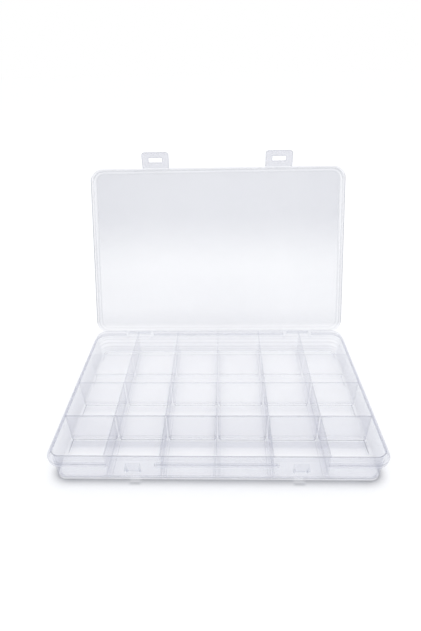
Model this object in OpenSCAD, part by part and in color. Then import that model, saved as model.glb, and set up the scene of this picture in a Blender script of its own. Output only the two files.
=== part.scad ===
// Embroidery thread box: a clear moulded tray of twenty-four bobbin cells with a hinged lid.
// The lid is drawn standing open on its stop, and its two latch tabs stand upright.
// Origin: centre of the tray's underside. X runs along the width, Y towards the hinges, Z up.

/* [Tray] */
// Distance from one column of cells to the next
cell_w = 56; // [50:0.5:62]
// Distance from one row of cells to the next
cell_d = 54; // [48:0.5:60]
// Height of the tray, underside to rim
tray_h = 36.7; // [32:0.1:44]
// Thickness of the outer walls
wall_t = 1.6; // [1.4:0.1:2]
// Thickness of the floor
floor_t = 1.6; // [1.4:0.1:2]
// Outer corner radius of the tray, seen from above
corner_r = 12; // [10:0.5:16]
// Radius where the cell floors curve up into the walls
cove_r = 3.2; // [2:0.1:4]
// Radius of the tray's outer bottom edge
edge_r = 4.4; // [3:0.1:5]
// How far each wall leans inwards from flange to floor
wall_lean = 0.75; // [0.4:0.05:1.2]

/* [Dividers] */
// Divider thickness at its rounded top
divider_top = 1.4; // [1.2:0.1:1.8]
// Divider thickness where it meets the floor
divider_foot = 2; // [1.8:0.1:2.6]

/* [Flange] */
// How far the flange stands out from the wall
flange_out = 4; // [3.6:0.1:4.6]
// Distance of the flange's top face below the rim
flange_drop = 6.8; // [6:0.1:8]
// Thickness of the flange plate
flange_t = 1.5; // [1.2:0.1:1.8]
// Height of the flange's turned-down lip
lip_h = 3.8; // [3:0.1:5]
// Thickness of the lip and of the gussets at the flange's ends
lip_t = 1.4; // [1.2:0.1:1.8]

/* [Lid] */
// Thickness of the lid along its border
lid_t = 1.8; // [1.5:0.1:2.2]
// How far the panel's top face is sunk below the border
lid_sink = 0.4; // [0.2:0.1:0.6]
// Width of the border, measured inwards from the tray's outer face
border_in = 1.6; // [1:0.1:3]
// Gap between the rim and the closed panel
lid_gap = 0.4; // [0.2:0.1:0.8]
// Thickness of the lid's skirt
skirt_t = 1.5; // [1.3:0.1:1.8]
// Radius of the lid's outer edge
lid_edge_r = 2.2; // [1.5:0.1:2.8]
// How far the lid has turned open, from closed
lid_open = 115; // [0:1:115]

/* [Hinges] */
// Distance of each hinge's middle from the box's centre line
hinge_x = 112; // [104:1:120]
// Length of each hinge over both ears
hinge_w = 40; // [34:1:44]
// Thickness of one ear
ear_t = 4; // [3:0.5:6]
// Distance of the pin's axis behind the back wall
pin_out = 4.4; // [4.2:0.1:5]
// Distance of the pin's axis below the rim
pin_drop = 6; // [5.6:0.1:6.6]
// Radius of the pin
pin_r = 1.5; // [1.2:0.1:1.7]
// Outer radius of the lid's knuckle
knuckle_r = 3.2; // [3:0.1:3.5]

/* [Latches] */
// Distance of each latch's middle from the box's centre line
latch_x = 84; // [80:1:90]
// Width of a latch tab
tab_w = 36.5; // [30:0.5:38]
// Length of a latch tab from its folding line
tab_l = 21; // [19.5:0.5:24]
// Thickness of a latch tab
tab_t = 1.8; // [1.5:0.1:2]
// Width of the slot in the tab
slot_w = 18.8; // [17:0.1:22]
// Distance of the slot's near edge from the folding line
slot_from = 8; // [7.5:0.1:8.5]
// Distance of the slot's far edge from the folding line
slot_to = 14.4; // [14.2:0.1:15]
// Angle that a latch tab has folded in from the lid's plane
tab_tilt = 25; // [0:1:90]
// Width of the catch on the front wall
catch_w = 14.8; // [12:0.1:16]
// How far the catch stands out from the wall
catch_out = 7.4; // [7:0.1:7.8]

/* [Hidden] */
$fn = 64;

// Names of the pieces, from left to right and from front to back.

// Clear polypropylene reads as a pale blue grey, and a little darker where it is thin and edge-on.
CLEAR = [0.88, 0.9, 0.95];
CLEAR_DIVIDER = [0.82, 0.85, 0.92];
CLEAR_LID = [0.91, 0.92, 0.96];
CLEAR_FITTING = [0.76, 0.79, 0.87];

COLUMNS = 6;
ROWS = 4;
LEFT = -1;
RIGHT = 1;

// Outside of the tray at its rim.
tray_w = COLUMNS * cell_w + wall_t;
tray_d = ROWS * cell_d + wall_t;
front_y = -tray_d / 2;
back_y = tray_d / 2;

// Wall sections are drawn from this far inside the outer face, and flat plates fill the rest.
reach = 8;
clear = 1;

// Levels of the flange and of the closed lid.
flange_top = tray_h - flange_drop;
flange_bottom = flange_top - flange_t;
lip_bottom = flange_top - lip_h;
panel_low = tray_h + lid_gap;
panel_high = panel_low + lid_t;
skirt_low = flange_top + 0.2;
skirt_lean = 0.3;
skirt_fillet = 1;

// Gaps in the flange where the latches fold down.
bay_w = 48;
bay_x = latch_x + 1.5;

// The pin's axis, about which the lid turns.
pin_y = back_y + pin_out;
pin_z = tray_h - pin_drop;
running_gap = 0.08;
side_gap = 1;
ear_r = 3;
ear_foot = 9;
arm_t = 1.8;
heel_l = 4.3;
heel_w = 18;

// The folding line of the latch tabs, on the closed lid.
fold_out = 1.3;
fold_y = front_y - flange_out - fold_out;
fold_z = (panel_low + panel_high) / 2;
film_t = 0.6;
bead_r = 0.6;
flex_t = 0.9;
flex_from = 1;
flex_to = 5;
film_gap = 0.05;
tab_corner = 3;
slot_corner = 1.2;
grip_r = 1.2;

// The catch, measured down from the rim.
catch_root = 9.6;
catch_nose = 11.2;
catch_under = 12.6;
rib_t = 1.6;
rib_out = 3.5;
rib_foot = 1.6;
rib_end = 22;

// Flat rectangle with round corners.
module rounded_rect(w, h, r) {
    square([w - 2 * r, h], center = true);
    square([w, h - 2 * r], center = true);
    for (x = [-1, 1], y = [-1, 1])
        translate([x * (w / 2 - r), y * (h / 2 - r)])
            circle(r);
}

// A section swept round a rounded rectangle. The section's x points outwards from that outline.
module swept_round(w, d, r) {
    for (i = [0:3]) {
        across = i % 2 == 0 ? w : d;
        along = i % 2 == 0 ? d : w;
        rotate([0, 0, 90 * i]) {
            translate([across / 2, along / 2 - r, 0])
                rotate([90, 0, 0])
                    linear_extrude(along - 2 * r)
                        children();
            translate([across / 2 - r, along / 2 - r, 0])
                rotate_extrude(angle = 90)
                    translate([r, 0])
                        children();
        }
    }
}

// A swept section together with the flat plate inside it.
module swept_pan(low, high) {
    swept_round(tray_w, tray_d, corner_r)
        children();
    translate([0, 0, low])
        linear_extrude(high - low)
            rounded_rect(tray_w - 2 * reach, tray_d - 2 * reach, corner_r - reach);
}

// Half section of a pan whose side leans outwards as it rises and whose bottom edge is round.
module pan_side(edge, top, lean, r) {
    angle = atan(lean / top);
    middle = edge + r * tan(angle) - r / cos(angle);
    polygon([
        [-reach, 0],
        [middle, 0],
        [middle, r],
        [middle + r * cos(angle), r - r * sin(angle)],
        [edge + lean, top],
        [-reach, top]
    ]);
    intersection() {
        translate([middle, r])
            circle(r);
        translate([middle, 0])
            square(r);
    }
}

// Half section of the space inside the tray.
module hollow_section() {
    depth = tray_h - floor_t;
    translate([0, floor_t])
        pan_side(-wall_t - wall_lean, depth + clear, wall_lean * (depth + clear) / depth, cove_r);
}

// The space inside the tray, as one pan without dividers.
module hollow() {
    swept_pan(floor_t, tray_h + clear)
        hollow_section();
}

// Half section of the tray: floor, coved wall, round rim, and flange with its turned-down lip.
module tray_section() {
    difference() {
        union() {
            pan_side(-wall_lean, flange_bottom, wall_lean, edge_r);
            translate([-wall_t, flange_bottom])
                square([wall_t, flange_drop + flange_t - wall_t / 2]);
        }
        hollow_section();
    }
    translate([-wall_t / 2, tray_h - wall_t / 2])
        circle(wall_t / 2);
    translate([-wall_t / 2, flange_bottom])
        square([flange_out + wall_t / 2, flange_t]);
    translate([flange_out - lip_t, lip_bottom])
        square([lip_t, lip_h]);
}

// A block that takes the flange away between two places on one side of the tray.
module flange_gap(x, w, side) {
    translate([x, side * (tray_d / 2 + flange_out), flange_top - lip_h])
        cube([w, 2 * flange_out, 3 * lip_h], center = true);
}

// Small web that closes the open end of the flange beside a gap.
module gusset(x, side) {
    translate([x + lip_t / 2, side * tray_d / 2, 0])
        rotate([90, 0, side * 90])
            translate([0, 0, side < 0 ? 0 : -lip_t])
                linear_extrude(lip_t)
                    polygon([
                        [-wall_t / 2, lip_bottom - lip_h],
                        [flange_out - lip_t, lip_bottom],
                        [flange_out - lip_t, flange_bottom],
                        [-wall_t / 2, flange_bottom]
                    ]);
}

// Floor, four walls and flange: the tray without its dividers.
module tray_shell() {
    color(CLEAR) {
        difference() {
            swept_pan(0, floor_t)
                tray_section();
            for (side = [LEFT, RIGHT]) {
                flange_gap(side * bay_x, bay_w, -1);
                flange_gap(side * hinge_x, hinge_w, 1);
            }
        }
        for (side = [LEFT, RIGHT], end = [-1, 1])
            gusset(side * bay_x + end * (bay_w + lip_t) / 2, -1);
    }
}

// Cross-section of a divider: slim plate with a round top, and coves where it meets the floor.
module divider_section() {
    rise = tray_h - divider_top / 2 - floor_t;
    lean = (divider_foot - divider_top) / 2;
    angle = atan(lean / rise);
    middle = divider_foot / 2 - cove_r * tan(angle) + cove_r / cos(angle);
    translate([0, floor_t]) {
        polygon([
            [-divider_foot / 2, 0],
            [divider_foot / 2, 0],
            [divider_top / 2, rise],
            [-divider_top / 2, rise]
        ]);
        translate([0, rise])
            circle(divider_top / 2);
        difference() {
            translate([-middle, 0])
                square([2 * middle, cove_r]);
            for (x = [-1, 1])
                translate([x * middle, cove_r])
                    circle(cove_r);
        }
    }
}

// A divider running front to back, on the line between two columns.
module long_wall(i) {
    translate([(i - COLUMNS / 2) * cell_w, tray_d / 2, 0])
        rotate([90, 0, 0])
            linear_extrude(tray_d)
                divider_section();
}

// One of the five long dividers, cut to fit between the coved front and back walls.
module long_divider(i) {
    color(CLEAR_DIVIDER)
        intersection() {
            long_wall(i);
            hollow();
        }
}

// One piece of a cross divider, standing between two long dividers or against a side wall.
module cross_divider(row, column) {
    color(CLEAR_DIVIDER)
        difference() {
            intersection() {
                translate([(column - 1 - COLUMNS / 2) * cell_w, (row - ROWS / 2) * cell_d, 0])
                    rotate([90, 0, 90])
                        linear_extrude(cell_w)
                            divider_section();
                hollow();
            }
            for (i = [column - 1, column])
                if (i > 0 && i < COLUMNS)
                    long_wall(i);
        }
}

// Catch on the front wall: a sloping nose for the tab's slot, carried on two side ribs.
module latch_catch(side) {
    color(CLEAR_FITTING)
        difference() {
            translate([side * latch_x, front_y, 0])
                rotate([90, 0, -90]) {
                    translate([0, 0, -catch_w / 2])
                        linear_extrude(catch_w)
                            polygon([
                                [-wall_t, tray_h - catch_root],
                                [0, tray_h - catch_root],
                                [catch_out, tray_h - catch_nose],
                                [catch_out, tray_h - catch_under],
                                [-wall_t, tray_h - catch_under]
                            ]);
                    for (z = [-catch_w / 2, catch_w / 2 - rib_t])
                        translate([0, 0, z])
                            linear_extrude(rib_t)
                                polygon([
                                    [-wall_t, tray_h - catch_under],
                                    [rib_out, tray_h - catch_under],
                                    [rib_foot, tray_h - rib_end],
                                    [-wall_t, tray_h - rib_end]
                                ]);
                }
            swept_pan(0, tray_h)
                tray_body_section();
        }
}

// Half section of the tray filled solid, used to seat the fittings on its outer face.
module tray_body_section() {
    pan_side(-wall_lean, flange_bottom, wall_lean, edge_r);
    translate([-reach, flange_bottom])
        square([reach, tray_h - flange_bottom]);
}

// Two ears and the pin between them, standing behind the back wall.
module hinge_bracket(side) {
    color(CLEAR_FITTING) {
        difference() {
            for (end = [-1, 1])
                translate([side * hinge_x + end * (hinge_w - ear_t) / 2 - ear_t / 2, back_y, 0])
                    rotate([90, 0, 90])
                        linear_extrude(ear_t)
                            ear_outline();
            swept_pan(0, tray_h)
                tray_body_section();
        }
        translate([side * hinge_x - hinge_w / 2, pin_y, pin_z])
            rotate([0, 90, 0])
                cylinder(h = hinge_w, r = pin_r);
    }
}

// Side view of an ear: round about the pin, with a long foot down the wall.
module ear_outline() {
    translate([pin_out, pin_z])
        circle(ear_r);
    polygon([
        [-wall_t, pin_z - ear_foot],
        [0, pin_z - ear_foot],
        [pin_out + ear_r * cos(30), pin_z - ear_r * sin(30)],
        [pin_out, pin_z + ear_r],
        [-wall_t, pin_z + ear_r]
    ]);
}

// Turns the closed lid about the pins to where it stands open.
module opened() {
    translate([0, pin_y, pin_z])
        rotate([-lid_open, 0, 0])
            translate([0, -pin_y, -pin_z])
                children();
}

// Half section of the closed lid's outside, with a round top edge and a flared skirt.
module lid_outside_section() {
    translate([0, panel_high])
        mirror([0, 1])
            pan_side(flange_out - skirt_lean, panel_high - skirt_low, skirt_lean, lid_edge_r);
}

// Half section of the space inside the closed lid.
module lid_inside_section() {
    translate([0, panel_low])
        mirror([0, 1])
            pan_side(flange_out - skirt_lean - skirt_t, panel_low - skirt_low + clear, skirt_lean, skirt_fillet);
}

// The top of the lid with its round edge and raised border, square where a latch tab hangs on.
module lid_panel() {
    color(CLEAR_LID)
        opened()
            difference() {
                union() {
                    swept_pan(panel_low, panel_high)
                        intersection() {
                            lid_outside_section();
                            translate([-reach, panel_low])
                                square([reach + flange_out, lid_t]);
                        }
                    for (side = [LEFT, RIGHT])
                        translate([side * latch_x - tab_w / 2, front_y - flange_out, panel_low])
                            cube([tab_w, 2 * flange_out, lid_t]);
                }
                translate([0, 0, panel_high - lid_sink])
                    linear_extrude(lid_sink + clear)
                        rounded_rect(tray_w - 2 * border_in, tray_d - 2 * border_in, corner_r - border_in);
            }
}

// The skirt round the lid's edge, in two stretches with gaps for the hinges.
module lid_skirt() {
    color(CLEAR_LID)
        opened()
            difference() {
                swept_round(tray_w, tray_d, corner_r)
                    difference() {
                        intersection() {
                            lid_outside_section();
                            translate([0, skirt_low])
                                square([flange_out, panel_low - skirt_low]);
                        }
                        lid_inside_section();
                    }
                for (side = [LEFT, RIGHT])
                    translate([side * hinge_x, back_y + flange_out / 2, skirt_low])
                        cube([hinge_w + side_gap, 2 * flange_out, 3 * flange_drop], center = true);
            }
}

// Knuckle that turns on the pin, its arm up to the panel, and the heel that stops the lid.
module hinge_knuckle(side) {
    knuckle_w = hinge_w - 2 * ear_t - 2 * side_gap;
    color(CLEAR_FITTING)
        opened()
            difference() {
                union() {
                    translate([side * hinge_x - knuckle_w / 2, pin_y, pin_z])
                        rotate([0, 90, 0])
                            cylinder(h = knuckle_w, r = knuckle_r);
                    translate([side * hinge_x - knuckle_w / 2, back_y + flange_out - skirt_lean - arm_t, pin_z])
                        cube([knuckle_w, arm_t, panel_low - pin_z]);
                    translate([side * hinge_x - heel_w / 2, pin_y - arm_t / 2, pin_z - heel_l])
                        cube([heel_w, arm_t, heel_l]);
                }
                translate([side * hinge_x - hinge_w / 2, pin_y, pin_z])
                    rotate([0, 90, 0])
                        cylinder(h = hinge_w, r = pin_r + running_gap);
            }
}

// Thin film along the lid's front edge, ending in the bead about which the latch tab folds.
module living_hinge(side) {
    color(CLEAR_FITTING)
        opened()
            translate([side * latch_x - tab_w / 2, fold_y, fold_z]) {
                rotate([0, 90, 0])
                    cylinder(h = tab_w, r = bead_r);
                translate([0, 0, -film_t / 2])
                    cube([tab_w, fold_out, film_t]);
            }
}

// Outline of a latch tab, drawn with its folding line on the x axis.
module tab_outline() {
    difference() {
        union() {
            translate([-tab_w / 2, flex_to])
                square([tab_w, tab_l - flex_to - tab_corner]);
            translate([0, tab_l - 2 * tab_corner])
                rounded_rect(tab_w, 4 * tab_corner, tab_corner);
        }
        translate([-tab_w, -tab_l + flex_to])
            square([2 * tab_w, tab_l]);
        translate([0, (slot_from + slot_to) / 2])
            rounded_rect(slot_w, slot_to - slot_from, slot_corner);
    }
}

// Latch tab: film, flexible neck, slotted plate and the round grip along its tip.
module latch(side) {
    film_from = bead_r + film_gap;
    color(CLEAR_FITTING)
        opened()
            translate([side * latch_x, fold_y, fold_z])
                rotate([tab_tilt, 0, 0])
                    mirror([0, 1, 0]) {
                        translate([-tab_w / 2, film_from, -film_t / 2])
                            cube([tab_w, flex_from + film_gap, film_t]);
                        translate([-tab_w / 2, flex_from, -flex_t / 2])
                            cube([tab_w, flex_to - flex_from, flex_t]);
                        translate([0, 0, -tab_t / 2])
                            linear_extrude(tab_t)
                                tab_outline();
                        translate([tab_corner - tab_w / 2, tab_l - grip_r / 2, 0])
                            rotate([0, 90, 0])
                                cylinder(h = tab_w - 2 * tab_corner, r = grip_r);
                    }
}

tray_shell();
long_divider(1);  // long_divider_1
long_divider(2);  // long_divider_2
long_divider(3);  // long_divider_3
long_divider(4);  // long_divider_4
long_divider(5);  // long_divider_5
cross_divider(1, 1);  // front_divider_1
cross_divider(1, 2);  // front_divider_2
cross_divider(1, 3);  // front_divider_3
cross_divider(1, 4);  // front_divider_4
cross_divider(1, 5);  // front_divider_5
cross_divider(1, 6);  // front_divider_6
cross_divider(2, 1);  // middle_divider_1
cross_divider(2, 2);  // middle_divider_2
cross_divider(2, 3);  // middle_divider_3
cross_divider(2, 4);  // middle_divider_4
cross_divider(2, 5);  // middle_divider_5
cross_divider(2, 6);  // middle_divider_6
cross_divider(3, 1);  // rear_divider_1
cross_divider(3, 2);  // rear_divider_2
cross_divider(3, 3);  // rear_divider_3
cross_divider(3, 4);  // rear_divider_4
cross_divider(3, 5);  // rear_divider_5
cross_divider(3, 6);  // rear_divider_6
latch_catch(LEFT);  // catch_left
latch_catch(RIGHT);  // catch_right
hinge_bracket(LEFT);  // hinge_bracket_left
hinge_bracket(RIGHT);  // hinge_bracket_right
lid_panel();
lid_skirt();
hinge_knuckle(LEFT);  // hinge_knuckle_left
hinge_knuckle(RIGHT);  // hinge_knuckle_right
living_hinge(LEFT);  // living_hinge_left
living_hinge(RIGHT);  // living_hinge_right
latch(LEFT);  // latch_left
latch(RIGHT);  // latch_right
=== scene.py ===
"""Embroidery thread box of clear moulded plastic, lid open, on a white studio floor."""

import math

import bpy
from mathutils import Matrix, Vector

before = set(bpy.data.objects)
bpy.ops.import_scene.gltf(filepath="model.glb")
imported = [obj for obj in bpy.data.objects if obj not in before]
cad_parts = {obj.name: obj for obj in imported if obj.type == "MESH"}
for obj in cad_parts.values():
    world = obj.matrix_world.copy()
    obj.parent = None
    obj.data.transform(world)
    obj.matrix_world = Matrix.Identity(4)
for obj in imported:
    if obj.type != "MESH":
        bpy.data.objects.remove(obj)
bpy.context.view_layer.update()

# The camera was fitted to the photograph: place in metres, angles in degrees, lens in millimetres.
CAMERA_PLACE = Vector((0.00765, -0.38457, 0.37942))
CAMERA_YAW, CAMERA_PITCH, CAMERA_ROLL = -2.068, 32.767, 1.432
CAMERA_LENS, SENSOR_WIDTH = 24.3, 36

TRAY_NODES = ["tray_shell"]
LONG_DIVIDER_NODES = [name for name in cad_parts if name.startswith("long_divider")]
CROSS_DIVIDER_NODES = [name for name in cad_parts
                       if "divider" in name and name not in LONG_DIVIDER_NODES]
LID_NODES = ["lid_panel", "lid_skirt"]
CATCH_NODES = ["catch_left", "catch_right"]
HINGE_NODES = [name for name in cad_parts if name.startswith(("hinge_", "living"))]

# Sizes of the mouldings in millimetres, as in the part's source.
COLUMN, ROW = 56, 54
RIM_OUTLINE = (168.8, 108.8, 12)  # half width, half depth and corner radius
RIM_HEIGHT, LID_UNDERSIDE = 36.7, 37.1
LATCH_X, CATCH_HALF_WIDTH = 84, 7.4
TAB_OUTLINE, SLOT_OUTLINE = (18.25, 10.5, 3), (9.4, 3.2, 1.2)
TAB_MIDDLE, SLOT_MIDDLE = 10.5, 11.2  # above the fold line
FOLD_HEIGHT = 233.62  # while the lid stands open
HINGE_LINE = (113.2, 30.7)  # its y and z
LID_OPENING = math.radians(115)

# Where lines are painted on the tray's section: distance outside the rim's outline, and height.
RIM_TOP = (-0.8, RIM_HEIGHT)
FLANGE_EDGE = (4.2, 29.6)
LIP_EDGE, LIP_SHINE = (4, 26.1), (4, 26.9)
COVE_EDGE, COVE_SHINE = (-5.3, 1.6), (-4.0, 2.2)
BOTTOM_SHINE = (-1.2, 4.2)
# Painted reflection lines on the back wall's inner face: height, width and weight of each.
BACK_WALL_REFLECTIONS = ((22.5, 1.8, 0.1), (16.4, 1.6, 0.14), (9.5, 1.6, 0.1), (5.4, 1.2, 0.12))

# The same on the closed lid, and on a divider, where the distance is from its middle.
SKIRT_EDGE, BORDER_EDGE = (4, 30.1), (-1.6, 38.8)
FOOT_EDGE, FOOT_SHINE, FOOT_TOP = (3.4, 1.75), (1.6, 3.6), (1.1, 4.9)

# Colours of the painted dark refraction lines and of the painted highlights on the clear plastic.
LINE_COLOUR = (0.33, 0.34, 0.38, 1)
SHINE_COLOUR = (0.97, 0.98, 1.0, 1)
TRAY_TINT = (0.45, 0.465, 0.58, 1)
DIVIDER_TINT = (0.455, 0.465, 0.58, 1)
LID_TINT = (0.46, 0.47, 0.545, 1)
TAB_TINT = (0.465, 0.47, 0.57, 1)
FITTING_TINT = (0.44, 0.48, 0.60, 1)
FLOOR_WHITE, FLOOR_SHADE = (0.98, 0.98, 0.98, 1), (0.22, 0.22, 0.25, 1)


class Wire:
    """A node socket that adds Math nodes when it is used in a sum."""

    def __init__(self, sheet, socket):
        self.sheet, self.socket = sheet, socket

    def _sum(self, operation, *values):
        return self.sheet.node("ShaderNodeMath", {"operation": operation}, dict(enumerate(values)))

    def __add__(self, other):
        return self._sum("ADD", self, other)

    def __sub__(self, other):
        return self._sum("SUBTRACT", self, other)

    def __rsub__(self, other):
        return self._sum("SUBTRACT", other, self)

    def __mul__(self, other):
        return self._sum("MULTIPLY", self, other)

    def __truediv__(self, other):
        return self._sum("DIVIDE", self, other)

    def __pow__(self, other):
        return self._sum("POWER", self, other)

    def __abs__(self):
        return self._sum("ABSOLUTE", self)

    def at_least(self, other):
        return self._sum("MAXIMUM", self, other)

    def at_most(self, other):
        return self._sum("MINIMUM", self, other)

    def rounded(self):
        return self._sum("ROUND", self)

    __radd__ = __add__
    __rmul__ = __mul__


class Sheet:
    """The node tree of one material, or of the world."""

    def __init__(self, name, kind="materials"):
        self.owner = getattr(bpy.data, kind).new(name)
        self.owner.use_nodes = True
        self.tree = self.owner.node_tree
        self.tree.nodes.clear()

    def node(self, kind, settings=None, inputs=None, output=0):
        """Adds a node, sets it up, fills its sockets and gives back one of its outputs."""
        made = self.tree.nodes.new(kind)
        for key, value in (settings or {}).items():
            setattr(made, key, value)
        for key, value in (inputs or {}).items():
            if isinstance(value, Wire):
                self.tree.links.new(value.socket, made.inputs[key])
            else:
                made.inputs[key].default_value = value
        return Wire(self, made.outputs[output]) if made.outputs else None

    def place(self, turn=0.0, about=(0, 0)):
        """Object coordinates in millimetres, turned about a line along X through (y, z)."""
        metres = self.node("ShaderNodeTexCoord", output=3)
        cosine, sine = math.cos(turn), math.sin(turn)
        y, z = about
        moved = (0, y - y * cosine + z * sine, z - y * sine - z * cosine)
        return self.node("ShaderNodeMapping", None, {
            "Vector": metres, "Location": moved, "Rotation": (turn, 0, 0), "Scale": (1000, 1000, 1000)})

    def split(self, vector):
        return [self.node("ShaderNodeSeparateXYZ", None, {0: vector}, axis) for axis in range(3)]

    def normal(self):
        """How far the surface faces along each axis, whichever side is seen."""
        return [abs(part) for part in self.split(self.node("ShaderNodeNewGeometry", output=1))]

    def ramp(self, value, low, high, start=0.0, end=1.0):
        """Smooth step from start to end as the value goes from low to high."""
        return self.node("ShaderNodeMapRange", {"interpolation_type": "SMOOTHSTEP"},
                         {"Value": value, "From Min": low, "From Max": high, "To Min": start, "To Max": end})

    def line(self, distance, width):
        """Full where the distance is nought, gone a width away on either side."""
        return self.ramp(abs(distance), 0, width, 1, 0)

    def spot(self, u, v, centre, width):
        """A line seen end-on: full where section point (u, v) is at the centre, gone a width away."""
        return self.ramp(((u - centre[0]) ** 2 + (v - centre[1]) ** 2) ** 0.5, 0, width, 1, 0)

    def outline(self, x, y, half_width, half_depth, radius):
        """Distance outside a rounded rectangle, negative inside it."""
        out_x = (abs(x) - (half_width - radius)).at_least(0)
        out_y = (abs(y) - (half_depth - radius)).at_least(0)
        return (out_x ** 2 + out_y ** 2) ** 0.5 - radius

    def blend(self, factor, start, end):
        """Mixes two colours."""
        return self.node("ShaderNodeMix", {"data_type": "RGBA"}, {0: factor, 6: start, 7: end}, 2)

    def noise(self, place, scale, detail=2.0):
        return self.node("ShaderNodeTexNoise", None, {"Vector": place, "Scale": scale, "Detail": detail})

    def seen(self):
        """1 for the rays that see the bright backdrop itself, 0 for those that gather its light."""
        return sum(self.node("ShaderNodeLightPath", output=f"Is {ray} Ray")
                   for ray in ("Camera", "Glossy", "Transmission"))


def finish_plastic(sheet, place, veil, tint, dark=None, bright=None, edge_on=0.3, hidden=None):
    """Clear polypropylene: a thin veil, painted dark refraction lines where it is thick, and painted
    highlights in its coves.

    edge_on is how much the veil grows where the surface is seen from the side, and hidden is 1 where
    the surface lies against another piece.
    """
    facing = sheet.node("ShaderNodeLayerWeight", None, {"Blend": 0.5}, 1)
    haze = sheet.noise(place, 0.015)
    alpha = veil + facing ** 3 * edge_on + (haze - 0.5) * 0.03
    colour = tint
    for lines, paint, weight in ((dark, LINE_COLOUR, 0.55), (bright, SHINE_COLOUR, 0.5)):
        if lines is not None:
            alpha = alpha + lines * weight
            colour = sheet.blend(lines.at_most(1), colour, paint)
    alpha = alpha.at_least(0).at_most(0.96)
    if hidden is not None:
        alpha = alpha * (1 - hidden.at_most(1))
    height = sheet.noise(place, 0.03, 1.0)
    ripple = sheet.node("ShaderNodeBump", None, {"Strength": 0.05, "Distance": 0.002, "Height": height})
    shader = sheet.node("ShaderNodeBsdfPrincipled", None, {
        "Base Color": colour, "Roughness": 0.1 + haze * 0.12, "IOR": 1.49, "Alpha": alpha, "Normal": ripple})
    sheet.node("ShaderNodeOutputMaterial", None, {"Surface": shader})
    return sheet.owner


def from_line(value, pitch):
    """Signed distance from the nearest of the divider lines, which lie a pitch apart."""
    return value - (value / pitch).rounded() * pitch


def before_row(y):
    """Distance in front of the nearest line between two rows, negative behind it."""
    return from_line(y, ROW) * -1


def beside_column(x):
    """Distance from the nearest line between two columns."""
    return abs(from_line(x, COLUMN))


def beside_latch(x):
    """Distance from the middle of the nearer latch and catch."""
    return abs(abs(x) - LATCH_X)


def nearness(sheet, y):
    """1 near the front of the tray, 0 near its back; painted shade and lines grow heavier towards the front.
    """
    return sheet.ramp(y, -75, 75, 1, 0)


def tray_plastic():
    sheet = Sheet("clear_tray")
    place = sheet.place()
    x, y, z = sheet.split(place)
    s = sheet.outline(x, y, *RIM_OUTLINE)
    near = nearness(sheet, y)
    front, back = sheet.ramp(y, -104, -98, 1, 0), sheet.ramp(y, 95, 104)
    side = sheet.ramp(abs(x), 158, 162)
    flat = sheet.ramp(sheet.normal()[2], 0.6, 0.8) * sheet.ramp(z, 2, 3, 1, 0)
    upright = back * (1 - flat)
    # Painted shadow: a cross divider's shadow is painted on the floor in front of it, heavier towards the
    # front of the tray, and a long one's on both sides of its line.
    before = before_row(y)
    shade = sheet.ramp(before, 11.5, 14, 0.55, 0) + sheet.ramp(before, 12, 24, 0.45, 0)
    shade = shade * sheet.ramp(before, 3.6, 4.4) * (0.01 + near ** 3 * 0.08)
    shade = shade + sheet.ramp(beside_column(x), 0, 13, 1, 0) * 0.02
    open_floor = sheet.ramp(before, 18, 25, 1, 0) * sheet.ramp(before, 1, 3)
    # Painted dark refraction lines along the rim's top, mostly at the front, along the flange's edge and the
    # lip, and at the foot of the side walls' coves.
    dark = (sheet.spot(s, z, RIM_TOP, 1.1) * (0.05 + front * 0.95)
            + sheet.spot(s, z, FLANGE_EDGE, 1.0) * (0.3 + front * 0.5 - back * 0.3)
            + sheet.spot(s, z, LIP_EDGE, 0.6) * 0.15 * (1 - back)
            + sheet.spot(s, z, COVE_EDGE, 0.8) * side * open_floor * (0.35 + near * 0.55))
    # Painted shade on the round bottom edge: a grey band with a fine line above it, at the front. Both fade
    # below the catches.
    painted_bottom_band = sheet.ramp(z, 0.6, 1.8, 0.5, 0) * sheet.ramp(s, -4.9, -4.3)
    fine_line = sheet.line(z - 2.9, 0.6) * sheet.ramp(s, -3.4, -3.0) * 0.12
    dark = dark + (painted_bottom_band + fine_line) * front
    below_catch = sheet.ramp(beside_latch(x), 3, 6.5, 1, 0) * sheet.ramp(z, 3, 4, 1, 0) * front
    dark = dark * (1 - below_catch * 0.6)
    # Painted highlights in the inner cove, just above the round bottom edge at the front, and on the lip.
    bright = (sheet.spot(s, z, COVE_SHINE, 1.2) * (0.8 - side * 0.6)
              + sheet.spot(s, z, BOTTOM_SHINE, 1.2) * 0.4 * front
              + sheet.spot(s, z, LIP_SHINE, 1.1) * 0.8 * (1 - back))
    # Painted reflection lines run along the back wall, above a painted highlight on its wide cove.
    reflection_lines = sum(sheet.line(z - height, width) * weight for height, width, weight in BACK_WALL_REFLECTIONS)
    dark = dark + reflection_lines * upright
    bright = bright + (sheet.line(z - 26.5, 2.0) * 0.15 + sheet.spot(s, z, COVE_SHINE, 1.7) * 1.3) * back
    side_wall = side * (1 - back)
    veil = 0.09 - 0.075 * flat + shade * flat + sheet.ramp(z, 28, 31) * 0.03
    veil = veil + upright * sheet.ramp(z, 9, 16, 0.015, -0.01)
    veil = veil + sheet.ramp(s, -0.5, 0.5) * side_wall * (0.02 + near * 0.03)
    edge_on = 0.3 - back * 0.2 - side_wall * sheet.ramp(z, 24, 28) * 0.13
    return finish_plastic(sheet, place, veil, TRAY_TINT, dark, bright, edge_on)


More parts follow.
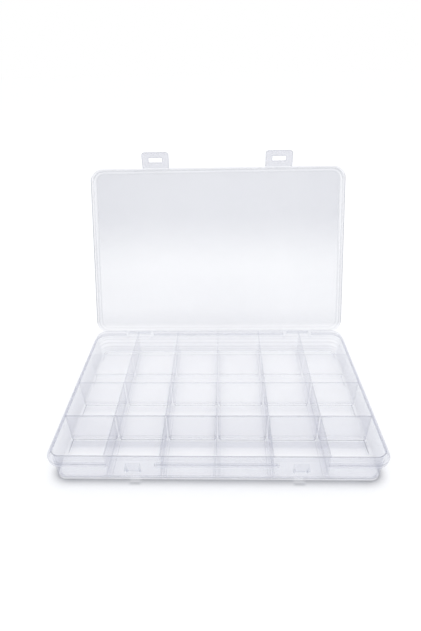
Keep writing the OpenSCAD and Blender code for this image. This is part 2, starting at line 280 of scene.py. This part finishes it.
def divider_plastic(across):
    """Plastic for the cross dividers or the long ones, whose ends and feet sit on other pieces."""
    sheet = Sheet("clear_divider_" + ("across" if across else "lengthwise"))
    place = sheet.place()
    x, y, z = sheet.split(place)
    u = before_row(y) if across else beside_column(x)
    near = nearness(sheet, y)
    normal = sheet.normal()
    underside = sheet.ramp(normal[2], 0.9, 0.95) * sheet.ramp(z, 1.65, 1.7, 1, 0)
    end_face = sheet.ramp(normal[0 if across else 1], 0.9, 0.95)
    # Painted dark refraction lines along the top and the foot, heavier towards the front, and a painted
    # highlight in the foot's cove.
    top = sheet.ramp(z, 35.2, 35.8)
    foot = sheet.spot(u, z, FOOT_EDGE, 0.8) * (0.1 + near * 0.95)
    foot_highlight = sheet.spot(u, z, FOOT_SHINE, 1.0)
    if across:
        # Where a cross divider meets a long one, painted shade darkens the corner's foot and the seam, and
        # the foot's painted highlight ends there.
        column = beside_column(x)
        corner_shade = sheet.ramp(column, 1.5, 5, 1, 0) * sheet.ramp(z, 2, 6, 1, 0)
        seam_shade = sheet.ramp(column, 1.0, 4.5, 0.14, 0) + corner_shade * 0.25
        dark = top * (0.05 + near * 0.4) + seam_shade * near + foot
        dark = dark + sheet.spot(u, z, FOOT_TOP, 0.8) * (0.1 + near * 0.15)
        bright = foot_highlight * (1 - corner_shade)
        # Painted shade: the veil grows heavier towards the front and beside the long dividers.
        veil = near ** 2 * 0.072 + 0.012 + sheet.ramp(column, 0, 13, 1, 0) * 0.02
    else:
        dark = top * (0.15 + near * 0.27) + foot * 0.35
        bright = foot_highlight * 0.15
        veil = 0.015 + near * 0.01
    edge_on = 0.17 + near * 0.11
    return finish_plastic(sheet, place, veil, DIVIDER_TINT, dark, bright, edge_on, underside + end_face)


def lid_plastic():
    """The pattern is laid out on the closed lid and turned with it."""
    sheet = Sheet("clear_lid")
    place = sheet.place(LID_OPENING, HINGE_LINE)
    x, y, z = sheet.split(place)
    s = sheet.outline(x, y, *RIM_OUTLINE)
    # Painted dark refraction lines run along the skirt's edge, heaviest along the sides, and faintly along
    # the border.
    along_side = sheet.ramp(y, -106, -98, 0.05, 1) * sheet.ramp(y, 96, 104, 1, 0.1)
    dark = sheet.spot(s, z, SKIRT_EDGE, 1.4) * along_side * 1.3 + sheet.spot(s, z, BORDER_EDGE, 0.7) * 0.12
    border, skirt = sheet.ramp(s, -1.9, -1.3), sheet.ramp(z, RIM_HEIGHT, LID_UNDERSIDE, 1, 0)
    # Painted shade: the panel's veil is heavier towards the edge that stands highest while the lid is open,
    # and a little heavier near the hinge and at the sides.
    middle = (sheet.ramp(y, -60, 30, 0.25, 0.1) + sheet.ramp(y, 75, 105, 0, 0.04)
              + sheet.ramp(abs(x), 80, 165, 0, 0.02))
    rim = sheet.ramp(y, -106, -98, 0.17, 0.12) + sheet.ramp(s, -0.5, 1.5, 0.07, 0)
    veil = (middle * (1 - border) + rim * border) * (1 - skirt) + skirt * 0.12
    veil = veil * sheet.ramp(y, 100, 108, 1, 0.5)
    return finish_plastic(sheet, place, veil, LID_TINT, dark, edge_on=0.1)


def tab_plastic(side):
    """Painted dark refraction lines follow the tab's outer edge and its slot; side is -1 for the left tab, 1
    for the right.
    """
    sheet = Sheet("clear_tab_" + ("left" if side < 0 else "right"))
    place = sheet.place()
    x, _, z = sheet.split(place)
    across, up = x - side * LATCH_X, z - FOLD_HEIGHT
    plate = sheet.outline(across, up - TAB_MIDDLE, *TAB_OUTLINE)
    slot = sheet.outline(across, up - SLOT_MIDDLE, *SLOT_OUTLINE)
    dark = sheet.line(plate, 1.0) * 0.3 + sheet.line(slot, 0.8) * 0.4
    return finish_plastic(sheet, place, 0.235, TAB_TINT, dark, edge_on=0.1)


def catch_plastic():
    """The nose's edge and the catch's sides get painted dark refraction lines, and a painted highlight
    lights the ribs towards their lower ends.
    """
    sheet = Sheet("clear_catch")
    place = sheet.place()
    x, y, z = sheet.split(place)
    nose = sheet.ramp(y, -115.6, -116.1) * sheet.ramp(z, 23.9, 24.6)
    sides = sheet.line(beside_latch(x) - CATCH_HALF_WIDTH, 1.0)
    rib_highlight = sheet.ramp(z, 19, 14.8)
    return finish_plastic(sheet, place, 0.05, FITTING_TINT, nose * 0.25 + sides * 0.15, rib_highlight * 0.6, 0.15)


def hinge_plastic():
    sheet = Sheet("clear_fitting")
    return finish_plastic(sheet, sheet.place(), 0.04, FITTING_TINT, edge_on=0.06)


def dress(nodes, material):
    for name in nodes:
        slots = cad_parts[name].data.materials
        slots.clear()
        slots.append(material)


def make_camera():
    yaw, pitch, roll = (math.radians(angle) for angle in (CAMERA_YAW, CAMERA_PITCH, CAMERA_ROLL))
    forward = Vector((math.sin(yaw) * math.cos(pitch), math.cos(yaw) * math.cos(pitch), -math.sin(pitch)))
    level = Vector((math.cos(yaw), -math.sin(yaw), 0))
    down = forward.cross(level)
    right = math.cos(roll) * level + math.sin(roll) * down
    up = math.sin(roll) * level - math.cos(roll) * down
    turned = Matrix((right, up, -forward)).transposed().to_4x4()
    camera = bpy.data.objects.new("camera", bpy.data.cameras.new("camera"))
    camera.data.lens, camera.data.sensor_width = CAMERA_LENS, SENSOR_WIDTH
    camera.matrix_world = Matrix.Translation(CAMERA_PLACE) @ turned
    bpy.context.scene.collection.objects.link(camera)
    bpy.context.scene.camera = camera


def make_floor():
    """A white floor just below the tray, with a painted shadow close to it."""
    bpy.ops.mesh.primitive_plane_add(size=12, location=(0, 0, -0.0002))
    floor = bpy.context.object
    floor.name = "floor"
    sheet = Sheet("floor")
    x, y, _ = sheet.split(sheet.place())
    # Painted shadow: ambient occlusion, which takes the clear plastic as solid, is strengthened along the
    # tray's outline, most of all in front and towards the corners, as if the light came from above and
    # behind.
    beyond = sheet.ramp(sheet.outline(x, y, *RIM_OUTLINE), -2.4, -0.6)
    open_sky = sheet.node("ShaderNodeAmbientOcclusion", {"samples": 12}, {"Distance": 0.014}, 1)
    shaded = (1 - open_sky) ** 1.7 * beyond * sheet.ramp(y, -106, -76, 2.15, 0.2)
    shaded = shaded * sheet.ramp(abs(x), 135, 175, 1, 1.35)
    # Below each catch the painted shadow is thinner, with a soft painted shadow spot a little farther out.
    below_catch = sheet.ramp(beside_latch(x), 3, 8, 1, 0)
    shaded = shaded * (1 - below_catch * sheet.ramp(y, -111.5, -110.5, 0, 0.25))
    shaded = shaded + below_catch * sheet.line(y + 112.5, 3) * 0.22
    white = sheet.blend(shaded.at_most(1), FLOOR_WHITE, FLOOR_SHADE)
    lift = sheet.node("ShaderNodeEmission", None, {"Color": white, "Strength": 0.08})
    matt = sheet.node("ShaderNodeBsdfDiffuse", None, {"Color": white})
    both = sheet.node("ShaderNodeAddShader", None, {0: lift, 1: matt})
    shown = sheet.node("ShaderNodeMixShader", None, {0: sheet.seen(), 1: matt, 2: both})
    sheet.node("ShaderNodeOutputMaterial", None, {"Surface": shown})
    floor.data.materials.append(sheet.owner)


def make_lights():
    """A soft lamp above and behind the box, and a white surround."""
    sky = Sheet("studio", "worlds")
    light = sky.node("ShaderNodeBackground", None, {"Color": (0.97, 0.98, 1, 1), "Strength": 0.97})
    backdrop = sky.node("ShaderNodeBackground", None, {"Color": (1, 1, 1, 1), "Strength": 1})
    shown = sky.node("ShaderNodeMixShader", None, {0: sky.seen(), 1: light, 2: backdrop})
    sky.node("ShaderNodeOutputWorld", None, {"Surface": shown})
    bpy.context.scene.world = sky.owner
    lamp = bpy.data.objects.new("softbox", bpy.data.lights.new("softbox", "AREA"))
    lamp.data.size, lamp.data.energy = 1.6, 3
    lamp.location = (0.35, 0.7, 1.5)
    lamp.rotation_euler = (-lamp.location).to_track_quat("-Z", "Y").to_euler()
    bpy.context.scene.collection.objects.link(lamp)


dress(TRAY_NODES, tray_plastic())
dress(LONG_DIVIDER_NODES, divider_plastic(across=False))
dress(CROSS_DIVIDER_NODES, divider_plastic(across=True))
dress(LID_NODES, lid_plastic())
dress(CATCH_NODES, catch_plastic())
dress(HINGE_NODES, hinge_plastic())
dress(["latch_left"], tab_plastic(-1))
dress(["latch_right"], tab_plastic(1))

make_floor()
make_lights()
make_camera()
bpy.context.scene.view_settings.view_transform = "Standard"
bpy.context.scene.cycles.transparent_max_bounces = 64  # light passes many clear walls one behind the other
